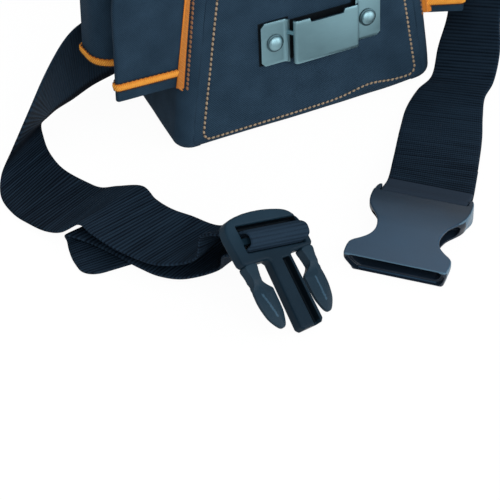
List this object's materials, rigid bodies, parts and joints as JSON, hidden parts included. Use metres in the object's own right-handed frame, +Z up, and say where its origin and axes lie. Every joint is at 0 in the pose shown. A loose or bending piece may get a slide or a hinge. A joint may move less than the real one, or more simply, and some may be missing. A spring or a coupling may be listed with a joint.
{
  "type": "electrician tool pouch",
  "caption": "Dark navy canvas electrician's tool pouch with orange-taped tool sleeves, a riveted steel tape clip and a webbing belt ending in an open side-release buckle",
  "frame": {"origin": "On the floor under the centre of the pouch's own bounding box, belt and buckle left out", "axes": "+Z up; front panel with the tape clip faces -Y; +X to the right as seen from the front"},
  "size_m": [0.3447, 0.2762, 0.2669],
  "materials": {
    "canvas": "matt heavy twill",
    "binding": "matt folded binding tape",
    "orange_tape": "matt woven edge tape",
    "webbing": "ribbed woven webbing",
    "plastic": "fine-grained moulding",
    "steel": "satin plated"
  },
  "bodies": {
    "pouch": {"back_binding": "binding", "back_panel": "canvas", "base_panel": "canvas", "belt_loop_left": "webbing", "belt_loop_right": "webbing", "belt_webbing": "webbing", "buckle_male": "plastic", "divider_panel": "canvas", "front_panel": "canvas", "gusset_left": "canvas", "gusset_right": "canvas", "hem_tape_left_front": "orange_tape", "hem_tape_left_rear": "orange_tape", "hem_tape_right_front": "orange_tape", "hem_tape_right_rear": "orange_tape", "rim_binding": "binding", "rivet_left": "steel", "rivet_right": "steel", "rivet_washer_inner_left": "steel", "rivet_washer_inner_right": "steel", "rivet_washer_outer_left": "steel", "rivet_washer_outer_right": "steel", "side_tape_left": "orange_tape", "side_tape_right": "orange_tape", "sleeve_left_front": "canvas", "sleeve_left_rear": "canvas", "sleeve_right_front": "canvas", "sleeve_right_rear": "canvas", "tape_clip": "steel", "tool_loop_band": "webbing"},
    "prong_left": {"buckle_prong_left": "plastic"},
    "prong_right": {"buckle_prong_right": "plastic"},
    "female_half": {"buckle_female": "plastic"}
  },
  "joints": [
    {"name": "prong_left_flex", "type": "hinge", "parent": "pouch", "child": "prong_left", "pos_m": [-0.12489, -0.19453, 0.03449], "axis": [0.3353, -0.5515, 0.7638], "range_deg": [0, 6], "stiffness_Nm_per_rad": 0.5},
    {"name": "prong_right_flex", "type": "hinge", "parent": "pouch", "child": "prong_right", "pos_m": [-0.08485, -0.18377, 0.02469], "axis": [-0.3353, 0.5515, -0.7638], "range_deg": [0, 6], "stiffness_Nm_per_rad": 0.5},
    {"name": "female_swing", "type": "hinge", "parent": "pouch", "child": "female_half", "pos_m": [0.00579, -0.16235, 0.00962], "axis": [-0.6646, 0.7467, -0.0249], "range_deg": [0, 40]}
  ]
}
